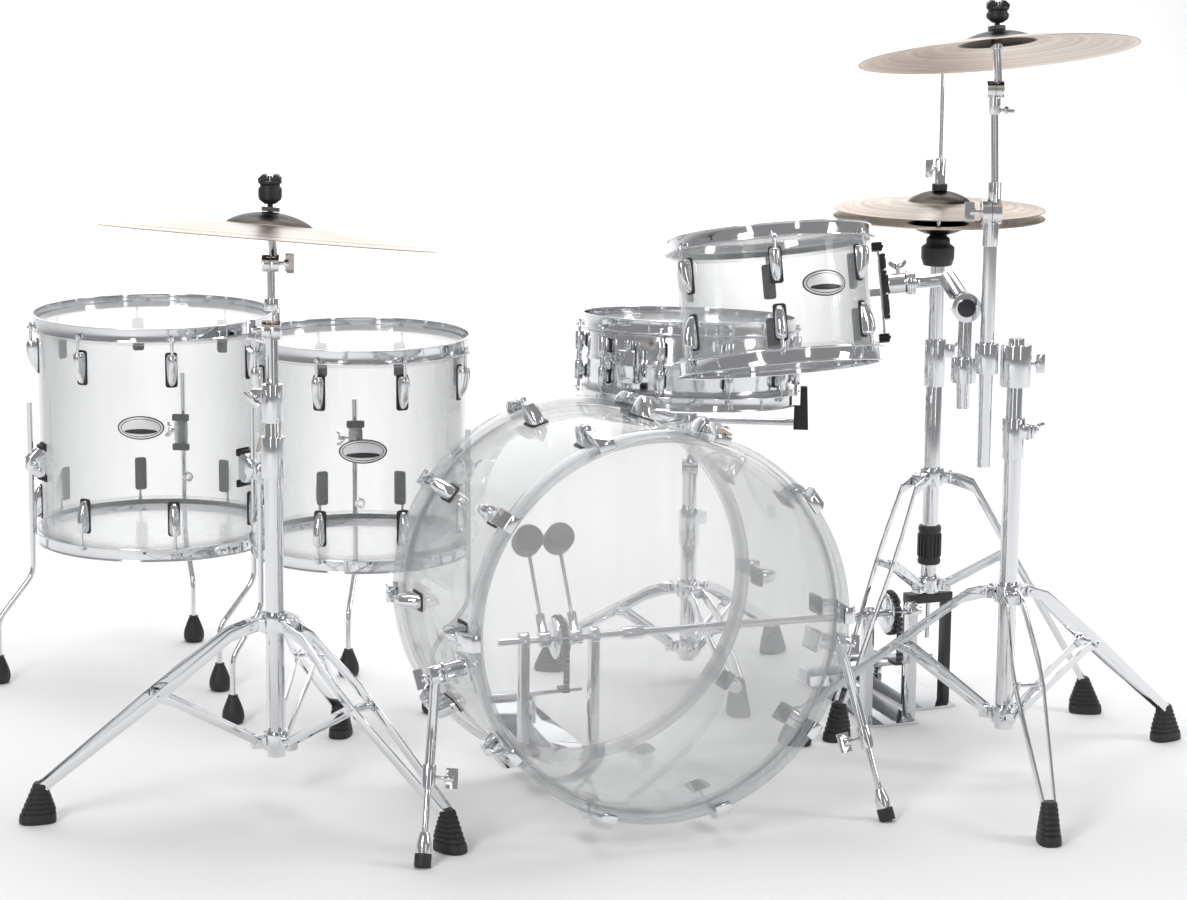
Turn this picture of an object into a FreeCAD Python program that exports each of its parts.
import FreeCAD, Part
import math
import os

# Acoustic drum kit, modelled set up for playing, in millimetres, +Z up.
# Layout axes while building: X to the player's left, Y from the front head towards the player,
# origin on the floor under the front face of the bass drum. At the end the whole kit is moved so
# that the origin is the middle of its footprint, on the floor.

V = FreeCAD.Vector

# ---------------------------------------------------------------- driving dimensions
INCH = 25.4
RIM_RISE = 13.0                 # a hoop stands this far above its head
SHELL_WALL = 6.0                # cast acrylic shells
STEEL_WALL = 1.2                # snare shell
ROD_R = 2.7                     # tension rods

BASS_R = 11 * INCH
BASS_LENGTH = 442.0             # hoop face to hoop face
BASS_HOOP_DEPTH = 38.0
BASS_HOOP_IN, BASS_HOOP_OUT = 283.0, 293.0
BASS_HEAD_SET_BACK = 18.0       # bearing edge behind the hoop face
BASS_FRONT = V(0, 0, 330.3)     # middle of the front hoop face
BASS_TILT = math.degrees(0.0456)
BASS_ROD_R = 303.0              # tension rods run at this radius
BASS_LUG_ANGLES = [18 + 36 * k for k in range(10)]

TOM16_R, TOM16_DEPTH, TOM16_AT = 8 * INCH, 407.0, V(-502, 1260, 236)
TOM14_R, TOM14_DEPTH, TOM14_AT = 7 * INCH, 376.0, V(-214, 927, 264)
TOM12_R, TOM12_DEPTH = 6 * INCH, 222.0
TOM16_LUGS = [41.9 + 45 * k for k in range(8)]
TOM14_LUGS = [7.7 + 45 * k for k in range(8)]
TOM16_LEGS = [65.9, 185.9, 305.9]
TOM14_LEGS = [78.2, 198.2, 318.2]
TOM_LEG_R = 4.9

SNARE_R, SNARE_DEPTH = 7 * INCH, 153.0
SNARE_MIDDLE = V(365, 886, 578)
SNARE_SIDE_DEG = 1.2            # right side lower, seen from the front
SNARE_BACK_DEG = 4.3            # leans towards the player

RACK_TOM_MIDDLE = V(334, 419, 744)
RACK_TOM_BACK_DEG = 13.0        # leans towards the player
RACK_TOM_SIDE_DEG = 5.3
SOCKET_RISE = 12.0              # the mount's socket above the middle of the shell

LEFT_STAND, LEFT_FEET_R, LEFT_FEET = V(-493, 394, 0), 371.0, [180, 300, 60]
RIGHT_STAND, RIGHT_FEET_R, RIGHT_FEET = V(649, 189, 0), 360.0, [15, 135, 255]
SNARE_STAND, SNARE_FEET_R, SNARE_FEET = V(372, 888, 0), 250.0, [30, 150, 270]
HIHAT, HIHAT_FEET_R, HIHAT_FEET = V(702, 597, 0), 275.0, [-27, 213]
BASE_TUBE_R, BASE_BORE_R = 14.3, 13.1
MIDDLE_TUBE_R, MIDDLE_BORE_R = 12.7, 10.0
UPPER_TUBE_R = 9.5
BOOM_TUBE_AT = V(600.5, 193.3, 0)
BOOM_TUBE_R, BOOM_BORE_R, BOOM_ROD_R = 11.0, 7.0, 6.0
TOM_POST_AT, TOM_POST_R = V(592, 256, 0), 11.0
HIHAT_ROD_TOP, HIHAT_ROD_END_R = 1093.0, 3.2

CYMBAL_THICK = 1.4
CYMBAL_HOLE_R = 8.0
SHAFT_Y, SHAFT_Z = 520.0, 190.0     # common axis of both bass pedals' shafts
FIRST_BEATER_X, SECOND_BEATER_X = -17.0, 37.0
SLAVE_X = 596.0
CAM_R = 34.0
BEATER_LEAN_DEG, BEATER_REACH = 33.0, 170.0
BOARD_LENGTH, BOARD_RISE = 290.0, 88.0      # footboard from its heel pin to its toe

# Sideways and forwards, as the player's front row faces: used to lean and to turn pieces.
FACING = 250.9                  # compass angle of the kit's open front, degrees from +X
AHEAD = V(math.cos(math.radians(FACING)), math.sin(math.radians(FACING)), 0)
BACK = AHEAD * -1
RIGHT = V(BACK.y, -BACK.x, 0)
UP = V(0, 0, 1)

nodes = {}


# ---------------------------------------------------------------- small tools
def add(name, *shapes):
    nodes.setdefault(name, []).extend(shapes)


def frame(origin, z_axis=UP, x_hint=V(1, 0, 0)):
    z = V(z_axis).normalize()
    x = (x_hint - z * x_hint.dot(z)).normalize()
    return FreeCAD.Placement(origin, FreeCAD.Rotation(x, z.cross(x), z, "ZXY"))


def put(shape, where):
    moved = shape.copy()
    moved.Placement = where.multiply(moved.Placement)
    return moved


def turned(shape, degrees):
    return put(shape, FreeCAD.Placement(V(), FreeCAD.Rotation(UP, degrees)))


def polar(radius, degrees, z=0.0):
    a = math.radians(degrees)
    return V(radius * math.cos(a), radius * math.sin(a), z)


def rod(start, end, radius):
    return Part.makeCylinder(radius, (end - start).Length, start, end - start)


def tube(start, end, outer, inner):
    return rod(start, end, outer).cut(rod(start, end, inner))


def cone(start, end, r_start, r_end):
    return Part.makeCone(r_start, r_end, (end - start).Length, start, end - start)


def block(x0, x1, y0, y1, z0, z1):
    return Part.makeBox(x1 - x0, y1 - y0, z1 - z0, V(x0, y0, z0))


def lathe(outline):
    """Solid of revolution about Z from (radius, height) points."""
    points = [V(r, 0, z) for r, z in outline]
    face = Part.Face(Part.makePolygon(points + points[:1]))
    return face.revolve(V(), UP, 360)


def slab(outline, half_width):
    """Flat (x, z) outline given a width along Y."""
    points = [V(x, -half_width, z) for x, z in outline]
    face = Part.Face(Part.makePolygon(points + points[:1]))
    return face.extrude(V(0, 2 * half_width, 0))


def join(*shapes):
    whole = shapes[0]
    for shape in shapes[1:]:
        whole = whole.fuse(shape)
    return whole.removeSplitter()


def leaning(back_deg, right_deg):
    """Unit axis leaning towards the player and towards the right, from upright."""
    back = BACK * math.tan(math.radians(back_deg))
    side = RIGHT * math.tan(math.radians(right_deg))
    return (UP + back + side).normalize()


def wing_screw(tip, out, length, wing_across):
    """Shank from tip outwards, with a flat two-winged head."""
    where = frame(tip, out, wing_across)
    shank = Part.makeCylinder(3.0, length)
    hub = Part.makeCylinder(6.0, length * 0.5, V(0, 0, length * 0.5))
    wings = block(-15, 15, -2.5, 2.5, length * 0.62, length + 8)
    return put(join(shank, hub, wings), where)


def ratchet(pivot, across, radius, thick):
    """Two toothed discs face to face, and the room each one needs cleared in the other piece."""
    near = rod(pivot - across * thick, pivot - across * 0.4, radius)
    far = rod(pivot + across * 0.4, pivot + across * thick, radius)
    near_room = rod(pivot - across * (thick + 20), pivot, radius + 0.7)
    far_room = rod(pivot, pivot + across * (thick + 20), radius + 0.7)
    return near, far, near_room, far_room


# ---------------------------------------------------------------- drums
def shell_tube(radius, low, high, wall):
    edge = min(4.0, wall - 0.2)
    return lathe([(radius - wall, low + edge), (radius - edge / 2, low), (radius, low + 1),
                  (radius, high - 1), (radius - edge / 2, high), (radius - wall, high - edge)])


def tom_head(radius):
    """Film, collar and flesh hoop; z = 0 is the rim's edge, outwards up."""
    e = -RIM_RISE
    return lathe([(0, e), (radius + 0.6, e), (radius + 0.6, e - 17), (radius + 8, e - 17),
                  (radius + 8, e - 11), (radius + 1.4, e - 11), (radius + 1.4, e + 0.6),
                  (0, e + 0.6)])


def tom_hoop(radius, angles):
    """Triple-flanged steel hoop with a drilled ear at each tension rod."""
    e = -RIM_RISE
    ring = lathe([(radius + 5.5, e - 11), (radius + 16, e - 11), (radius + 16, e - 8.7),
                  (radius + 7.8, e - 8.7), (radius + 7.8, -2.3), (radius + 11.5, -2.3),
                  (radius + 11.5, 0), (radius + 5.5, 0)])
    ears = [turned(block(radius + 8, radius + 19, -8, 8, e - 11, e - 8.7), a) for a in angles]
    ring = join(ring, *ears)
    holes = [turned(Part.makeCylinder(ROD_R + 0.4, 20, V(radius + 12.5, 0, e - 15)), a)
             for a in angles]
    return ring.cut(Part.makeCompound(holes))


def tom_rod(radius, reach):
    x = radius + 12.5
    e = -RIM_RISE - 8.7
    return join(Part.makeCylinder(ROD_R, reach, V(x, 0, e - reach)),
                Part.makeCylinder(4.5, 3.5, V(x, 0, e)),
                block(x - 2.8, x + 2.8, -2.8, 2.8, e + 3.5, e + 8))


def tom_lug(radius, start, length):
    """Teardrop casting: thick where the rod enters, thin at the tail."""
    z = -start
    body = slab([(radius + 1.8, z), (radius + 18.5, z), (radius + 20, z - 6),
                 (radius + 17, z - length * 0.65), (radius + 9, z - length + 3),
                 (radius + 1.8, z - length)], 9)
    return body.cut(Part.makeCylinder(ROD_R + 0.3, 26, V(radius + 12.5, 0, z - 26)))


def gasket(radius, start, length, half_width):
    pad = block(radius - 4, radius + 1.8, -half_width, half_width, -start - length - 3, -start + 3)
    return pad.cut(Part.makeCylinder(radius, length + 40, V(0, 0, -start - length - 20)))


def end_frames(where, depth):
    """Frames at both rims of a drum, each with z pointing out of the drum."""
    top = where.multiply(FreeCAD.Placement(V(0, 0, depth), FreeCAD.Rotation()))
    bottom = where.multiply(FreeCAD.Placement(V(), FreeCAD.Rotation(V(1, 0, 0), 180)))
    return [(top, 1), (bottom, -1)]


def tom(where, radius, depth, angles, names, lug_start=46.0, lug_length=55.0):
    shell_name, hoop_name, head_name, lug_name = names
    add(shell_name, put(shell_tube(radius, RIM_RISE, depth - RIM_RISE, SHELL_WALL), where))
    lug = tom_lug(radius, lug_start, lug_length)
    pad = gasket(radius, lug_start, lug_length, 10.5)
    screw = tom_rod(radius, lug_start - RIM_RISE - 8.7 + 22)
    for end, side in end_frames(where, depth):
        add(head_name, put(tom_head(radius), end))
        add(hoop_name, put(tom_hoop(radius, [side * a for a in angles]), end))
        for a in angles:
            for piece in (lug, pad, screw):
                add(lug_name, put(turned(piece, side * a), end))


def bass_drum():
    tilt = math.radians(BASS_TILT)
    out = V(0, -math.cos(tilt), math.sin(tilt))
    rear = BASS_FRONT - out * BASS_LENGTH
    where = frame(rear, out, V(1, 0, 0))
    set_back = BASS_HEAD_SET_BACK
    shell = shell_tube(BASS_R, set_back, BASS_LENGTH - set_back, SHELL_WALL)
    add("bass_shell", put(shell, where))
    hoop = lathe([(BASS_HOOP_IN, -BASS_HOOP_DEPTH), (BASS_HOOP_OUT, -BASS_HOOP_DEPTH),
                  (BASS_HOOP_OUT, 0), (BASS_HOOP_IN, 0)])
    h = -BASS_HOOP_DEPTH
    head = lathe([(0, -set_back), (BASS_R + 0.6, -set_back), (BASS_R + 0.6, h - 10),
                  (BASS_R + 9, h - 10), (BASS_R + 9, h), (BASS_R + 1.4, h),
                  (BASS_R + 1.4, -set_back + 0.6), (0, -set_back + 0.6)])
    claw = slab([(284, 0), (BASS_HOOP_OUT, 0), (BASS_HOOP_OUT, -40), (311, -40), (311, -24),
                 (298, 3), (284, 3)], 13)
    claw = claw.cut(Part.makeCylinder(3.4, 60, V(BASS_ROD_R, 0, -50)))
    claw = claw.cut(Part.makeCylinder(7.5, 40, V(BASS_ROD_R, 0, -26)))
    bolt = join(Part.makeCylinder(3.0, 76, V(BASS_ROD_R, 0, -102)),
                Part.makeCylinder(6.5, 4, V(BASS_ROD_R, 0, -26)),
                block(BASS_ROD_R - 3.5, BASS_ROD_R + 3.5, -3.5, 3.5, -22, -14))
    lug = slab([(BASS_R + 1.8, -78), (BASS_R + 31, -78), (BASS_R + 33, -84), (BASS_R + 31, -104),
                (BASS_R + 12, -122), (BASS_R + 1.8, -122)], 12)
    lug = lug.cut(Part.makeCylinder(3.3, 30, V(BASS_ROD_R, 0, -106)))
    pad = gasket(BASS_R, 78, 44, 14)
    for end, side in end_frames(where, BASS_LENGTH):
        add("bass_heads", put(head, end))
        add("bass_hoops", put(hoop, end))
        for a in BASS_LUG_ANGLES:
            angle = side * (90 + a)
            add("bass_lugs", put(turned(lug, angle), end), put(turned(pad, angle), end))
            add("bass_claws", put(turned(claw, angle), end), put(turned(bolt, angle), end))
    return where


def spur(side, where):
    """Bracket on the shell, and a folding telescopic spur with a rubber tip."""
    knee = V(side * 322, 100, 262)
    foot = V(side * 368.8, 10, 0)
    down = (foot - knee).normalize()
    local = where.inverse().multVec(knee)
    angle = math.degrees(math.atan2(local.y, local.x))
    # the bracket: a foot plate on the shell and a round arm to the knuckle
    plate = block(BASS_R - 6, BASS_R + 7, -17, 17, local.z - 30, local.z + 24)
    plate = plate.cut(Part.makeCylinder(BASS_R, 90, V(0, 0, local.z - 45)))
    radius = math.hypot(local.x, local.y)
    arm = rod(V(BASS_R + 5, 0, local.z), V(radius - 14, 0, local.z), 13)
    collar = rod(V(radius - 14, 0, local.z), V(radius - 9.5, 0, local.z), 17)
    add("bass_spur_brackets", put(turned(join(plate, arm, collar), angle), where))
    # the moving spur: knuckle, outer tube, clamp, inner rod, ferrule and tip
    outward = where.Rotation.multVec(polar(1, angle))
    name = "bass_spur_left" if side < 0 else "bass_spur_right"
    knuckle = rod(knee - outward * 9, knee + outward * 10, 15)
    sleeve = rod(knee + down * 6, knee + down * 150, 7.5)
    clamp = rod(knee + down * 132, knee + down * 166, 10.5)
    outer = join(knuckle, sleeve, clamp)
    inner = rod(knee + down * 166, knee + down * 236, 4.8)
    tip = (foot - knee).Length
    ferrule = join(cone(knee + down * 230, knee + down * 246, 7, 11),
                   rod(knee + down * 246, knee + down * (tip - 20), 11))
    ferrule = ferrule.cut(rod(knee + down * 220, knee + down * 236, 4.8))
    rubber = rod(knee + down * (tip - 20), knee + down * (tip - 1), 12.5)
    rubber = rubber.cut(block(-600, 600, -300, 300, -30, 0))
    across = V(0, 1, 0).cross(down)
    wing = wing_screw(knee + down * 149 + across * side * 11, across * side, 26, down)
    knob = wing_screw(knee + outward * 10, outward, 14, down)
    add(name, outer, inner, ferrule, rubber, wing, knob)
    return knee, outward


def floor_tom_leg(at, radius, azimuth, bracket_z, top_z, bend):
    """One bracket on the shell and its bent steel leg with a pear-shaped rubber foot."""
    x = radius + 24
    body = join(block(radius + 2, x + 9, -12, 12, -17, 17),
                block(radius - 4, radius + 8, -16, 16, -34, 34))
    body = body.cut(Part.makeCylinder(radius, 120, V(0, 0, -60)))
    body = body.cut(Part.makeCylinder(TOM_LEG_R + 0.1, 80, V(x, 0, -40)))
    where = frame(V(at.x, at.y, bracket_z))
    add("floor_tom_leg_brackets", put(turned(body, azimuth), where),
        put(turned(wing_screw(V(x, 12, 0), V(0, 1, 0), 14, V(1, 0, 1)), azimuth), where))
    top = V(at.x, at.y, top_z) + polar(x, azimuth)
    points = [top, V(top.x, top.y, 188), V(top.x, top.y, 112) + bend, V(top.x, top.y, 30) + bend]
    path = rod(points[0], points[1], TOM_LEG_R)
    for a, b in zip(points[1:-1], points[2:]):
        path = path.fuse(Part.makeSphere(TOM_LEG_R + 0.1, a)).fuse(rod(a, b, TOM_LEG_R))
    boot = lathe([(0, 0), (13, 0), (18.5, 7), (19, 16), (12.5, 38), (8, 47), (TOM_LEG_R, 49),
                  (TOM_LEG_R, 30), (0, 30)])
    add("floor_tom_legs", path.removeSplitter(), put(boot, frame(V(top.x, top.y, 0) + bend)))


def floor_toms():
    shared = ("floor_tom_hoops", "floor_tom_heads", "floor_tom_lugs")
    tom(frame(TOM16_AT), TOM16_R, TOM16_DEPTH, TOM16_LUGS, ("floor_tom_16_shell",) + shared)
    tom(frame(TOM14_AT), TOM14_R, TOM14_DEPTH, TOM14_LUGS, ("floor_tom_14_shell",) + shared)
    bends = [RIGHT * 21 + AHEAD * 60, RIGHT * -57 + AHEAD * 40, RIGHT * -57 + AHEAD * 45]
    for azimuth, bend in zip(TOM16_LEGS, bends):
        floor_tom_leg(TOM16_AT, TOM16_R, azimuth, 386, 494, bend)
    bends = [RIGHT * -10 + AHEAD * 50, RIGHT * -45 + AHEAD * 40, RIGHT * -60 + AHEAD * 10]
    for azimuth, bend in zip(TOM14_LEGS, bends):
        floor_tom_leg(TOM14_AT, TOM14_R, azimuth, 422, 491, bend)


def snare_lug(radius):
    """Tube-style double lug: two small castings joined by a waist, ahead of a thin gasket."""
    half = SNARE_DEPTH / 2
    x = radius + 12.5
    body = join(block(radius + 1.5, x + 2, -6, 6, half - 38, half + 38),
                rod(V(x, 0, half - 42), V(x, 0, half - 6), 8),
                rod(V(x, 0, half + 6), V(x, 0, half + 42), 8),
                rod(V(x, 0, half - 8), V(x, 0, half + 8), 5))
    for z in (half - 43, half + 23):
        body = body.cut(Part.makeCylinder(ROD_R + 0.3, 20, V(x, 0, z)))
    pad = block(radius - 4, radius + 1.5, -7.5, 7.5, half - 40, half + 40)
    return body, pad.cut(Part.makeCylinder(radius, 200, V(0, 0, -20)))


def snare():
    axis = leaning(SNARE_BACK_DEG, SNARE_SIDE_DEG)
    where = frame(SNARE_MIDDLE - axis * (SNARE_DEPTH / 2), axis, AHEAD)
    shell = shell_tube(SNARE_R, RIM_RISE, SNARE_DEPTH - RIM_RISE, STEEL_WALL)
    angles = [36 * k + 20 for k in range(10)]
    add("snare_shell", put(shell, where))
    body, pad = snare_lug(SNARE_R)
    for end, side in end_frames(where, SNARE_DEPTH):
        add("snare_heads", put(tom_head(SNARE_R), end))
        add("snare_hoops", put(tom_hoop(SNARE_R, [side * a for a in angles]), end))
        for a in angles:
            add("snare_lugs", put(turned(tom_rod(SNARE_R, 28), side * a), end))
    for a in angles:
        add("snare_lugs", put(turned(body, a), where), put(turned(pad, a), where))
    # strainer with its knob at one side and the butt plate opposite
    z = SNARE_DEPTH / 2
    strainer_angle = -34
    case = block(SNARE_R - 3, SNARE_R + 22, -17, 17, z - 34, z + 24)
    case = case.cut(Part.makeCylinder(SNARE_R, 200, V(0, 0, -20)))
    knob = rod(V(SNARE_R + 13, 0, z + 24), V(SNARE_R + 13, 0, z + 40), 7)
    butt = block(SNARE_R - 3, SNARE_R + 14, -17, 17, z - 34, z - 4)
    butt = butt.cut(Part.makeCylinder(SNARE_R, 200, V(0, 0, -20)))
    add("snare_strainer", put(turned(case, strainer_angle), where),
        put(turned(knob, strainer_angle), where),
        put(turned(butt, strainer_angle + 180), where))
    # the lever of the throw-off stands beside its case and swings outwards
    lever = join(rod(V(SNARE_R + 12, 18, z - 20), V(SNARE_R + 12, 24, z - 20), 7),
                 block(SNARE_R + 8, SNARE_R + 16, 19, 24, z - 20, z + 26))
    add("snare_throw_lever", put(turned(lever, strainer_angle), where))
    pivot = where.multVec(polar(1, strainer_angle) * (SNARE_R + 12) + V(0, 0, z - 20))
    turn = where.Rotation.multVec(polar(1, strainer_angle + 90))
    return where, pivot, turn


def rack_tom():
    axis = leaning(RACK_TOM_BACK_DEG, -RACK_TOM_SIDE_DEG)
    where = frame(RACK_TOM_MIDDLE - axis * (TOM12_DEPTH / 2), axis, AHEAD)
    names = ("rack_tom_shell", "rack_tom_hoops", "rack_tom_heads", "rack_tom_lugs")
    tom(where, TOM12_R, TOM12_DEPTH, [60 * k for k in range(6)], names, 40.0, 52.0)
    # suspension mount: bowed bar beside the shell held at two rods, slotted plate and receiver
    mid = TOM12_DEPTH / 2
    r = TOM12_R
    hold = mid + SOCKET_RISE
    bar = block(r + 16, r + 20, -11, 11, mid - 68, mid + 68)
    cushions = [block(r + 9, r + 26, -13, 13, mid - 80, mid - 68),
                block(r + 9, r + 26, -13, 13, mid + 68, mid + 80)]
    plate = block(r + 20, r + 29, -15, 15, mid - 40, mid + 58)
    socket = rod(V(r + 29, 0, hold), V(r + 74, 0, hold), 17)
    nut = rod(V(r + 58, 0, hold), V(r + 74, 0, hold), 20)
    socket = join(socket, nut).cut(rod(V(r + 35, 0, hold), V(r + 80, 0, hold), 11.05))
    screw = wing_screw(V(r + 48, 0, hold + 17), UP, 12, V(1, 0, 0))
    brace = block(r - 3, r + 16, -6, 6, mid - 6, mid + 6)
    brace = brace.cut(Part.makeCylinder(r, 400, V(0, 0, -60)))
    mount = [bar, plate, socket, screw, brace] + cushions
    for piece in mount:
        add("rack_tom_mount", put(turned(piece, 90), where))
    return where


# ---------------------------------------------------------------- stands
def leg_strip(stations, thick, half_height, side):
    """Flat steel strip lofted through (reach, height, sideways) stations."""
    wires = []
    for reach, z, sideways in stations:
        y0 = side * sideways
        y1 = y0 + side * thick
        points = [V(reach, y0, z - half_height), V(reach, y1, z - half_height),
                  V(reach, y1, z + half_height), V(reach, y0, z + half_height)]
        wires.append(Part.makePolygon(points + points[:1]))
    return Part.makeLoft(wires, True, True)


def boot(reach):
    """Ribbed rubber boot at the end of a leg."""
    return slab([(reach - 26, 0), (reach + 24, 0), (reach + 28, 10), (reach + 6, 58),
                 (reach - 16, 62), (reach - 30, 24)], 19)


def tripod(name, centre, feet_r, azimuths, collar_z, low_z, wide=20.0):
    """Double-strip legs, their struts, pins and boots."""
    knee = (72.0, collar_z - 14)
    end = (feet_r - 4, 52.0)
    slope = (end[1] - knee[1]) / (end[0] - knee[0])

    def leg_z(reach):
        return knee[1] + slope * (reach - knee[0])

    middle = 0.42 * feet_r
    pin_at = 0.5 * feet_r
    stations = [(30, collar_z, 11), (knee[0], knee[1], 12), (middle, leg_z(middle), wide),
                (pin_at + 12, leg_z(pin_at + 12), wide), (end[0], end[1], 7)]
    low_pin = V(32, 0, low_z)
    mid_pin = V(pin_at, 0, leg_z(pin_at) - 2)
    top_pin = V(38, 0, collar_z - 2)
    brace = [(low_pin.x - 7, low_z, 9), (pin_at - 20, mid_pin.z - 8, wide - 6),
             (pin_at + 7, mid_pin.z, wide - 6)]
    strips = []
    for side in (-1, 1):
        strips.append(leg_strip(stations, 3.0, 9.0, side))
        strips.append(leg_strip(brace, 2.4, 7.0, side))
    pins = [rod(mid_pin - V(0, wide + 5, 0), mid_pin + V(0, wide + 5, 0), 3.2),
            rod(top_pin - V(0, 16, 0), top_pin + V(0, 16, 0), 3.2),
            rod(low_pin - V(0, 13, 0), low_pin + V(0, 13, 0), 3.0)]
    holes = Part.makeCompound(pins)
    strips = [strip.cut(holes) for strip in strips]
    shoe = boot(feet_r).cut(Part.makeCompound(strips))
    where = frame(centre)
    for azimuth in azimuths:
        for piece in strips + pins + [shoe]:
            add(name, put(turned(piece, azimuth), where))
    return low_pin, top_pin


def collar(centre, z0, z1, outer, bore, pin=None, ear=8.5, azimuths=()):
    """Ring round a tube, with an ear drilled for each leg or strut pin."""
    shape = Part.makeCylinder(outer, z1 - z0, V(0, 0, z0))
    for azimuth in azimuths:
        tongue = block(outer - 6, pin.x + 7, -ear, ear, pin.z - 9, pin.z + 9)
        shape = shape.fuse(turned(tongue, azimuth))
    shape = shape.cut(Part.makeCylinder(bore, z1 - z0 + 40, V(0, 0, z0 - 20)))
    for azimuth in azimuths:
        hole = rod(V(pin.x, -30, pin.z), V(pin.x, 30, pin.z), 3.25)
        shape = shape.cut(turned(hole, azimuth))
    return put(shape, frame(centre))


def tube_clamp(centre, z0, z1, outer, bore, azimuth, tube_r, tube_top):
    """Height clamp: sleeve on the end of a tube, with two jaws and a wing screw across them."""
    ring = Part.makeCylinder(outer, z1 - z0, V(0, 0, z0))
    ring = ring.cut(Part.makeCylinder(tube_r, tube_top - z0, V(0, 0, z0)))
    jaws = block(outer - 4, outer + 16, -8, 8, z1 - 30, z1 - 8)
    ring = join(ring, jaws)
    ring = ring.cut(Part.makeCylinder(bore, z1 - z0 + 40, V(0, 0, z0 - 20)))
    ring = ring.cut(block(0, outer + 20, -1.5, 1.5, z1 - 32, z1 + 5))
    screw = wing_screw(V(outer + 8, 8, z1 - 19), V(0, 1, 0), 16, V(1, 0, 1))
    where = frame(centre)
    return [put(turned(ring, azimuth), where), put(turned(screw, azimuth), where)]


def stand_base(name, centre, azimuths, low_z, collar_z, top_z, low_pin, top_pin, clamp_turn):
    """Base tube with its two leg collars and the first height clamp."""
    add(name, put(tube(V(0, 0, low_z - 24), V(0, 0, top_z), BASE_TUBE_R, BASE_BORE_R),
                  frame(centre)))
    add(name, collar(centre, low_z - 13, low_z + 13, 20, BASE_TUBE_R, low_pin, 8.5, azimuths))
    add(name, collar(centre, collar_z - 15, collar_z + 15, 21, BASE_TUBE_R, top_pin, 10.5,
                     azimuths))
    add(name, *tube_clamp(centre, top_z - 6, top_z + 58, 18, MIDDLE_TUBE_R + 0.4, clamp_turn,
                          BASE_TUBE_R, top_z))


def cymbal_outline(radius, bell_r, bell_h, drop):
    """Upper face from the rim to the centre hole, then the lower face back out."""
    def height(r):
        bow = -drop * (r / radius) ** 2
        dome = bell_h * max(0.0, 1 - (r / bell_r) ** 2) ** 0.8
        return bow + dome
    steps = [CYMBAL_HOLE_R] + [bell_r * k / 6 for k in range(1, 7)]
    steps += [bell_r + (radius - bell_r) * k / 5 for k in range(1, 6)]
    upper = [(r, height(r)) for r in steps]
    lower = [(r, z - CYMBAL_THICK) for r, z in reversed(upper)]
    return upper + lower


def cymbal(seat, axis, radius, bell_r, bell_h, drop, flip=False):
    """Seat is where the centre hole's lower lip lies."""
    shape = lathe(cymbal_outline(radius, bell_r, bell_h, drop))
    top = bell_h * (1 - (CYMBAL_HOLE_R / bell_r) ** 2) ** 0.8 - CYMBAL_THICK
    shape = put(shape, FreeCAD.Placement(V(0, 0, -top), FreeCAD.Rotation()))
    if flip:
        shape = put(shape, FreeCAD.Placement(V(), FreeCAD.Rotation(V(1, 0, 0), 180)))
    return put(shape, frame(seat, axis))


def cymbal_felts(name, seat, axis):
    """Felt washers under and over the bell; they tip with the cymbal on the post."""
    where = frame(seat, axis)
    lower = lathe([(7.5, -7), (13, -7), (13, -2), (10, -0.6), (7.5, -0.6)])
    upper = lathe([(7.5, 1.9), (14, 1.9), (14, 9), (7.5, 9)])
    add(name, put(lower, where), put(upper, where))


def cymbal_post(foot, seat, nut_top):
    """Threaded post with a seat cup below the cymbal and a quick-release nut above it."""
    at = V(seat.x, seat.y, 0)
    stem = rod(foot, at + V(0, 0, seat.z - 24), 6.5)
    cup = lathe([(3.2, -26), (9, -26), (9, -16), (7, -11), (3.2, -11)])
    thread = rod(at + V(0, 0, seat.z - 26), at + V(0, 0, seat.z + nut_top - 2), 3.2)
    nut = lathe([(3.2, 13.5), (9, 13.5), (17, 20), (18, 24), (18, nut_top - 9), (12, nut_top),
                 (3.2, nut_top)])
    nut = nut.cut(Part.makeCylinder(3.2, nut_top, V(0, 0, 0)))
    return join(stem, thread, put(cup, frame(seat))), put(nut, frame(seat))


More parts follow.
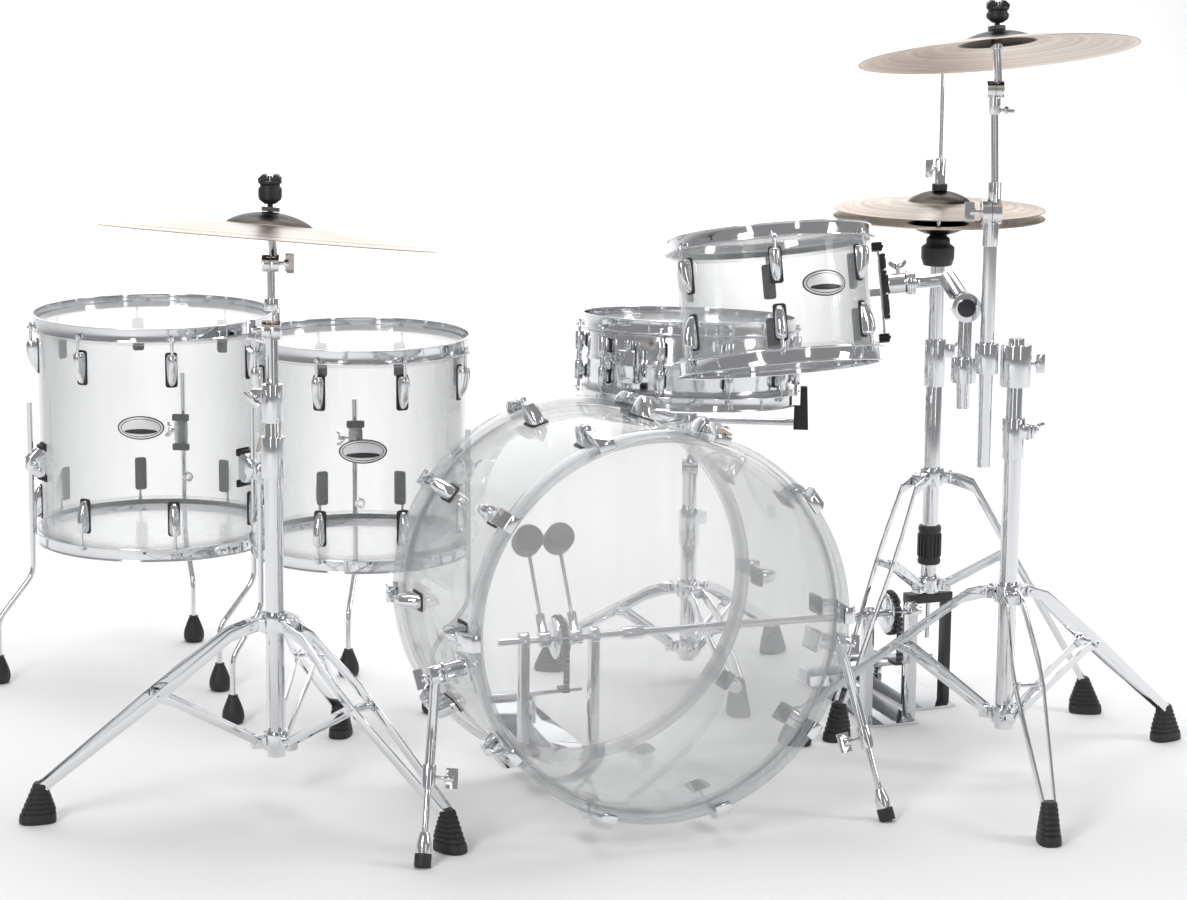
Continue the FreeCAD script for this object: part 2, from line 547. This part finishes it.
def left_stand():
    low_z, collar_z, top_z = 96, 284, 516
    pins = tripod("left_stand_legs", LEFT_STAND, LEFT_FEET_R, LEFT_FEET, collar_z, low_z)
    stand_base("left_stand_base", LEFT_STAND, LEFT_FEET, low_z, collar_z, top_z, *pins, 60)
    at = frame(LEFT_STAND)
    add("left_stand_middle_tube",
        put(tube(V(0, 0, 130), V(0, 0, 600), MIDDLE_TUBE_R, MIDDLE_BORE_R), at))
    add("left_stand_middle_tube",
        *tube_clamp(LEFT_STAND, 596, 654, 16, UPPER_TUBE_R + 0.4, 150, MIDDLE_TUBE_R, 600))
    # upper tube, with one half of the boom ratchet on top
    across = V(0.945, -0.327, 0)
    hub = LEFT_STAND + V(0, 0, 737)
    near, far, near_room, far_room = ratchet(hub, across, 15, 14)
    neck = rod(LEFT_STAND + V(0, 0, 200), LEFT_STAND + V(0, 0, 730), UPPER_TUBE_R)
    add("left_stand_upper_tube", join(neck, near).cut(far_room),
        wing_screw(hub - across * 14, across * -1, 16, V(0.3, 0, 1)))
    # short boom: other half of the ratchet, block and rod up to the tilter's fork
    wheel = LEFT_STAND + V(0, 0, 838)
    wheel_near, wheel_far, below_room, above_room = ratchet(wheel, across, 13, 13)
    arm = join(far, rod(hub + across * 6.5 + V(0, 0, 10), hub + V(0, 0, 34) + across * 6.5, 6),
               rod(hub + V(0, 0, 30), hub + V(0, 0, 48), 11),
               rod(hub + V(0, 0, 46), wheel - V(0, 0, 6), 6), wheel_near)
    add("left_boom", arm.cut(near_room).cut(above_room))
    tilt_axis = leaning(7.0, 4.3)
    seat = LEFT_STAND + V(0, 0, 914)
    post, nut = cymbal_post(wheel + across * 5, seat, 58)
    add("left_tilter", join(wheel_far, post).cut(below_room), nut,
        wing_screw(wheel + across * 13, across, 14, V(0, 0.3, 1)))
    cymbal_felts("left_cymbal_felts", seat, tilt_axis)
    add("left_cymbal", cymbal(seat, tilt_axis, 254, 66, 18, 21))
    return hub, wheel, across, seat, tilt_axis


def right_stand():
    low_z, collar_z, top_z = 99, 298, 521
    pins = tripod("right_stand_legs", RIGHT_STAND, RIGHT_FEET_R, RIGHT_FEET, collar_z, low_z)
    stand_base("right_stand_base", RIGHT_STAND, RIGHT_FEET, low_z, collar_z, top_z, *pins, 300)
    column = rod(RIGHT_STAND + V(0, 0, 140), RIGHT_STAND + V(0, 0, 706), MIDDLE_TUBE_R)
    add("right_stand_upper_tube", column)
    # multi-clamp: a jawed block on each of three tubes, linked by toothed discs
    blocks = [(RIGHT_STAND, MIDDLE_TUBE_R, 12, 630, 696),
              (BOOM_TUBE_AT, BOOM_TUBE_R + 0.4, 7, 652, 700),
              (TOM_POST_AT, TOM_POST_R + 0.4, 9, 628, 668)]
    for at, bore, wall, z0, z1 in blocks:
        ring = tube(V(0, 0, z0), V(0, 0, z1), bore + wall, bore)
        for other, other_bore, *rest in blocks:
            if other != at:
                gap = rod(other - at + V(0, 0, 560), other - at + V(0, 0, 760), other_bore + 0.3)
                ring = ring.cut(gap)
        add("right_stand_upper_tube", put(ring, frame(at)))
    screw_at = RIGHT_STAND + V(24.7, 0, 664)
    add("right_stand_upper_tube", wing_screw(screw_at, V(1, -0.2, 0), 16, V(0, 0, 1)))
    # tube that slides through the clamp, with the ratchet's lower half on top
    across = RIGHT
    hub = BOOM_TUBE_AT + V(0, 0, 905)
    near, far, near_room, far_room = ratchet(hub, across, 19, 15)
    sleeve = rod(BOOM_TUBE_AT + V(0, 0, 503), BOOM_TUBE_AT + V(0, 0, 880), BOOM_TUBE_R)
    neck = rod(BOOM_TUBE_AT + V(0, 0, 852), BOOM_TUBE_AT + V(0, 0, 896), 12.5)
    add("right_boom_tube", join(sleeve, neck, near).cut(far_room),
        wing_screw(hub - across * 15, across * -1, 18, V(0.2, 0, 1)))
    # thin boom: the ratchet's upper half, its clamp, the rod and its end collar
    wheel = BOOM_TUBE_AT + V(0, 0, 1094)
    boom_top = wheel - V(0, 0, 34)
    wheel_near, wheel_far, below_room, above_room = ratchet(wheel, across, 13, 13)
    arm = join(far, rod(hub + across * 4 + V(0, 0, 16), hub + across * 4 + V(0, 0, 46), 10.5),
               rod(hub + across * 4 + V(0, 0, 40), boom_top, BOOM_ROD_R),
               rod(boom_top - V(0, 0, 4), wheel - V(0, 0, 10), 9), wheel_near)
    add("right_boom", arm.cut(near_room).cut(above_room),
        wing_screw(boom_top + V(0, 0, 2) + RIGHT * 9, RIGHT, 12, BACK))
    tilt_axis = leaning(10.9, -4.7)
    seat = wheel + V(0, 0, 88)
    post, nut = cymbal_post(wheel + across * 5, seat, 48)
    add("right_tilter", join(wheel_far, post).cut(below_room), nut)
    cymbal_felts("right_cymbal_felts", seat, tilt_axis)
    add("right_cymbal", cymbal(seat, tilt_axis, 8.5 * INCH, 60, 16, 20))
    return hub, wheel, across, seat, tilt_axis


def tom_arm(tom_frame):
    """Post in the clamp, and the tilting arm whose tube enters the rack tom's receiver."""
    mid = tom_frame.multVec(V(0, 0, TOM12_DEPTH / 2 + SOCKET_RISE))
    reach = tom_frame.Rotation.multVec(V(0, 1, 0))
    start = mid + reach * (TOM12_R + 40)
    end = mid + reach * (TOM12_R + 122)
    hub = V(TOM_POST_AT.x, TOM_POST_AT.y, 748)
    near, far, near_room, far_room = ratchet(hub, AHEAD, 23, 16)
    post = join(rod(TOM_POST_AT + V(0, 0, 586), TOM_POST_AT + V(0, 0, 734), TOM_POST_R), near)
    post = post.cut(far_room)
    add("tom_post", post.cut(rod(TOM_POST_AT + V(0, 0, 580), TOM_POST_AT + V(0, 0, 712), 9.2)))
    elbow = end + reach * 4
    housing = join(far, rod(hub + AHEAD * 10, elbow, 15), Part.makeSphere(15, elbow),
                   rod(start, end + reach * 6, 11.0))
    add("tom_arm", housing.cut(near_room))
    return hub, start, reach


def snare_stand(snare_frame):
    low_z, collar_z = 58, 165
    pins = tripod("snare_stand_base", SNARE_STAND, SNARE_FEET_R, SNARE_FEET, collar_z, low_z, 16.0)
    stand_base("snare_stand_base", SNARE_STAND, SNARE_FEET, low_z, collar_z, 250, *pins, 20)
    neck = SNARE_STAND + V(0, 0, 382)
    near, far, near_room, far_room = ratchet(neck, RIGHT, 15, 14)
    stem = rod(SNARE_STAND + V(0, 0, 70), SNARE_STAND + V(0, 0, 374), MIDDLE_TUBE_R)
    add("snare_stand_tube", join(stem, near).cut(far_room))
    axis = snare_frame.Rotation.multVec(UP)
    hub = snare_frame.multVec(V(0, 0, -34))
    where = frame(hub, axis, AHEAD)
    core = join(put(Part.makeCylinder(20, 26, V(0, 0, -13)), where), far,
                rod(neck + RIGHT * 7, hub, 9))
    add("snare_basket", core.cut(near_room))
    for azimuth in (90, 210, 330):
        arm = rod(V(20, 0, 2), V(SNARE_R + 10, 0, 2), 6.5)
        grip = slab([(SNARE_R + 10, -10), (SNARE_R + 36, -10), (SNARE_R + 32, 66),
                     (SNARE_R + 21, 66), (SNARE_R + 21, 32), (SNARE_R + 10, 32)], 8)
        grip = grip.cut(rod(V(0, 0, 2), V(SNARE_R + 11, 0, 2), 6.5))
        add("snare_basket", put(turned(arm, azimuth), where), put(turned(grip, azimuth), where))
    return neck


def hihat():
    at = frame(HIHAT)
    low_z, collar_z = 214, 404
    pins = tripod("hihat_legs", HIHAT, HIHAT_FEET_R, HIHAT_FEET, collar_z, low_z, 15.0)
    top_z = 566
    add("hihat_base", put(tube(V(0, 0, 200), V(0, 0, top_z), BASE_TUBE_R, BASE_BORE_R), at))
    add("hihat_base", collar(HIHAT, 203, 228, 20, BASE_TUBE_R, pins[0], 8.5, HIHAT_FEET))
    add("hihat_base", collar(HIHAT, 389, 419, 21, BASE_TUBE_R, pins[1], 10.5, HIHAT_FEET))
    add("hihat_base", *tube_clamp(HIHAT, 560, 640, 18, MIDDLE_TUBE_R + 0.4, 330, BASE_TUBE_R,
                                  top_z))
    add("hihat_base", put(tube(V(0, 0, 250), V(0, 0, 318), 21, BASE_TUBE_R), at))
    # yoke from the tube down to the base plate, straddling the pull chain: a bridge on two posts
    bridge = block(-41, 41, -13, 13, 184, 200).cut(Part.makeCylinder(9, 60, V(0, 0, 160)))
    posts = [block(-41, -29, -11, 11, 4, 184), block(29, 41, -11, 11, 4, 184)]
    plate = block(-44, 44, -30, 292, 0, 4)
    heel_cheeks = join(block(-44, -36, 248, 288, 4, 30), block(36, 44, 248, 288, 4, 30))
    heel_cheeks = heel_cheeks.cut(rod(V(-60, 262, 22), V(60, 262, 22), 4.05))
    heel = FreeCAD.Placement(HIHAT, FreeCAD.Rotation(UP, 3))
    for piece in [bridge, plate, heel_cheeks] + posts:
        add("hihat_base", put(piece, heel))
    # sliding tube with the seat cup, and the lower cymbal turned bell down
    add("hihat_upper_tube",
        put(tube(V(0, 0, 325), V(0, 0, 778), MIDDLE_TUBE_R, 9.0), at),
        put(lathe([(4.2, 778), (9, 778), (MIDDLE_TUBE_R, 778), (MIDDLE_TUBE_R, 766), (24, 766),
                   (28, 778), (28, 797), (20, 803), (20, 811), (14, 817), (4.2, 817)]), at))
    bell = 17.0
    add("hihat_bottom_cymbal", cymbal(HIHAT + V(0, 0, 818.7), UP, 178, 52, bell, 13, True))
    # pull rod, turned down above the clutch; the clutch with its felt, and the upper cymbal
    pull_rod = join(rod(V(0, 0, 120), V(0, 0, 950), 3.5),
                    rod(V(0, 0, 950), V(0, 0, HIHAT_ROD_TOP), HIHAT_ROD_END_R))
    clutch = lathe([(3.5, 892.4), (13, 892.4), (13, 903), (9, 904), (9, 946), (3.5, 946)])
    under = lathe([(3.5, 876), (10, 876), (10, 889.6), (5, 889.6), (5, 892.4), (3.5, 892.4)])
    add("hihat_pull_rod", put(pull_rod, at), put(clutch, at),
        put(under, at),
        put(wing_screw(V(-9, 0, 930), V(-1, -0.3, 0), 12, V(0, 0, 1)), at))
    add("hihat_top_cymbal", cymbal(HIHAT + V(0, 0, 890.3), UP, 178, 52, bell, 13))
    # footboard hinged at the heel, its toe held up by the chain to the rod
    board = slab([(0, -3), (225, 52), (225, 57), (0, 3)], 33)
    hinge = rod(V(0, -35.5, 0), V(0, 35.5, 0), 9)
    board = join(board, hinge).cut(rod(V(0, -40, 0), V(0, 40, 0), 4.06))
    where = heel.multiply(FreeCAD.Placement(V(0, 262, 22), FreeCAD.Rotation(UP, -90)))
    add("hihat_footboard", put(board, where))
    pin = rod(V(-44, 262, 22), V(44, 262, 22), 4.0)
    add("hihat_base", put(pin, heel))
    return heel.multVec(V(0, 262, 22)), heel.Rotation.multVec(V(1, 0, 0))


# ---------------------------------------------------------------- bass pedals
def pedal_frame(name, x, half, towards_hoop):
    """Base plate, two posts with bearing eyes, heel cheeks and pin."""
    add(name, block(x - 45, x + 45, SHAFT_Y - 30, SHAFT_Y + 290, 0, 4))
    for side in (-1, 1):
        post_x = x + side * half
        post = join(block(post_x - 7, post_x + 7, SHAFT_Y - 12, SHAFT_Y + 12, 4, SHAFT_Z - 8),
                    rod(V(post_x - 7, SHAFT_Y, SHAFT_Z), V(post_x + 7, SHAFT_Y, SHAFT_Z), 15))
        post = post.cut(rod(V(post_x - 9, SHAFT_Y, SHAFT_Z), V(post_x + 9, SHAFT_Y, SHAFT_Z), 6.06))
        add(name, post)
        heel = block(x + side * 40 - 4, x + side * 40 + 4, SHAFT_Y + 250, SHAFT_Y + 286, 4, 28)
        heel = heel.cut(rod(V(x - 60, SHAFT_Y + 268, 20), V(x + 60, SHAFT_Y + 268, 20), 4.05))
        add(name, heel)
    add(name, rod(V(x - 44, SHAFT_Y + 268, 20), V(x + 44, SHAFT_Y + 268, 20), 4.0))
    if towards_hoop:
        clamp = join(block(x - 22, x + 22, SHAFT_Y - 96, SHAFT_Y - 30, 0, 10),
                     block(x - 22, x + 22, SHAFT_Y - 74, SHAFT_Y - 30, 10, 24))
        add(name, clamp)


def footboard(x, half_width):
    """Long board on its heel pin, toe up under the shaft."""
    board = slab([(0, -3), (BOARD_LENGTH, BOARD_RISE - 3), (BOARD_LENGTH, BOARD_RISE + 2),
                  (0, 3)], half_width)
    hinge = rod(V(0, -35.5, 0), V(0, 35.5, 0), 9)
    board = join(board, hinge).cut(rod(V(0, -40, 0), V(0, 40, 0), 4.06))
    where = frame(V(x, SHAFT_Y + 268, 20), UP, V(0, -1, 0))
    return put(board, where)


def cam(x):
    return rod(V(x - 9, SHAFT_Y, SHAFT_Z), V(x + 9, SHAFT_Y, SHAFT_Z), CAM_R)


def beater(x):
    """Hub on the shaft, rod and felt head; it leans back at rest."""
    lean, reach = math.radians(BEATER_LEAN_DEG), BEATER_REACH
    centre = V(x, SHAFT_Y, SHAFT_Z)
    d = V(0, math.sin(lean), math.cos(lean))
    ahead = V(0, -math.cos(lean), math.sin(lean))
    hub = rod(centre - V(9, 0, 0), centre + V(9, 0, 0), 13)
    stem_block = rod(centre + d * 8, centre + d * 42, 8)
    stem = rod(centre + d * 30, centre + d * (reach + 8), 3.2)
    head_at = centre + d * reach
    head = rod(head_at - ahead * 16, head_at + ahead * 20, 24)
    head = head.fuse(cone(head_at + ahead * 20, head_at + ahead * 25, 24, 20))
    return hub, stem_block, stem, head.removeSplitter()


def pedals():
    pedal_frame("pedal_frame", 8, 60, True)
    pedal_frame("slave_pedal_frame", SLAVE_X, 40, False)
    add("pedal_footboard", footboard(8, 33))
    add("slave_footboard", footboard(SLAVE_X, 30))
    # first beater: shaft in the left bearing, cam in the middle
    left = V(-95, SHAFT_Y, SHAFT_Z)
    split = V(25.6, SHAFT_Y, SHAFT_Z)
    hub, stem_block, stem, head = beater(FIRST_BEATER_X)
    first = join(rod(left, split, 6), hub, stem_block, stem, cam(9))
    add("first_beater", first, head.cut(stem))
    # second beater: shaft in the right bearing, drive shaft and the far pedal's cam
    hub, stem_block, stem, head = beater(SECOND_BEATER_X)
    right = V(118, SHAFT_Y, SHAFT_Z)
    axle = rod(V(26.4, SHAFT_Y, SHAFT_Z), right, 6)
    joints = [rod(right, right + V(34, 0, 0), 11),
              rod(V(500, SHAFT_Y, SHAFT_Z), V(534, SHAFT_Y, SHAFT_Z), 11)]
    long_bar = rod(right + V(34, 0, 0), V(500, SHAFT_Y, SHAFT_Z), 7)
    far = rod(V(534, SHAFT_Y, SHAFT_Z), V(SLAVE_X + 58, SHAFT_Y, SHAFT_Z), 6)
    second = join(axle, hub, stem_block, stem, joints[0], long_bar, joints[1], far, cam(SLAVE_X))
    add("second_beater", second, head.cut(stem))


# ---------------------------------------------------------------- the kit
bass_frame = bass_drum()
SPUR_LEFT = spur(-1, bass_frame)
SPUR_RIGHT = spur(1, bass_frame)
floor_toms()
snare_frame, LEVER_PIVOT, LEVER_AXIS = snare()
SNARE_NECK = snare_stand(snare_frame)
rack_frame = rack_tom()
ARM_HUB, ARM_START, ARM_REACH = tom_arm(rack_frame)
LEFT_HUB, LEFT_WHEEL, LEFT_ACROSS, LEFT_SEAT, LEFT_TILT = left_stand()
RIGHT_HUB, RIGHT_WHEEL, RIGHT_ACROSS, RIGHT_SEAT, RIGHT_TILT = right_stand()
HIHAT_HEEL, HIHAT_HINGE = hihat()
pedals()

box = Part.makeCompound([s for shapes in nodes.values() for s in shapes])
box = box.optimalBoundingBox(False, False)
SHIFT = V(-(box.XMin + box.XMax) / 2, -(box.YMin + box.YMax) / 2, 0)

os.makedirs("parts", exist_ok=True)
for name, shapes in nodes.items():
    solids = [solid for shape in shapes for solid in shape.Solids]
    whole = Part.makeCompound(solids) if len(solids) > 1 else solids[0].copy()
    whole.translate(SHIFT)
    whole.exportStep("parts/" + name + ".step")
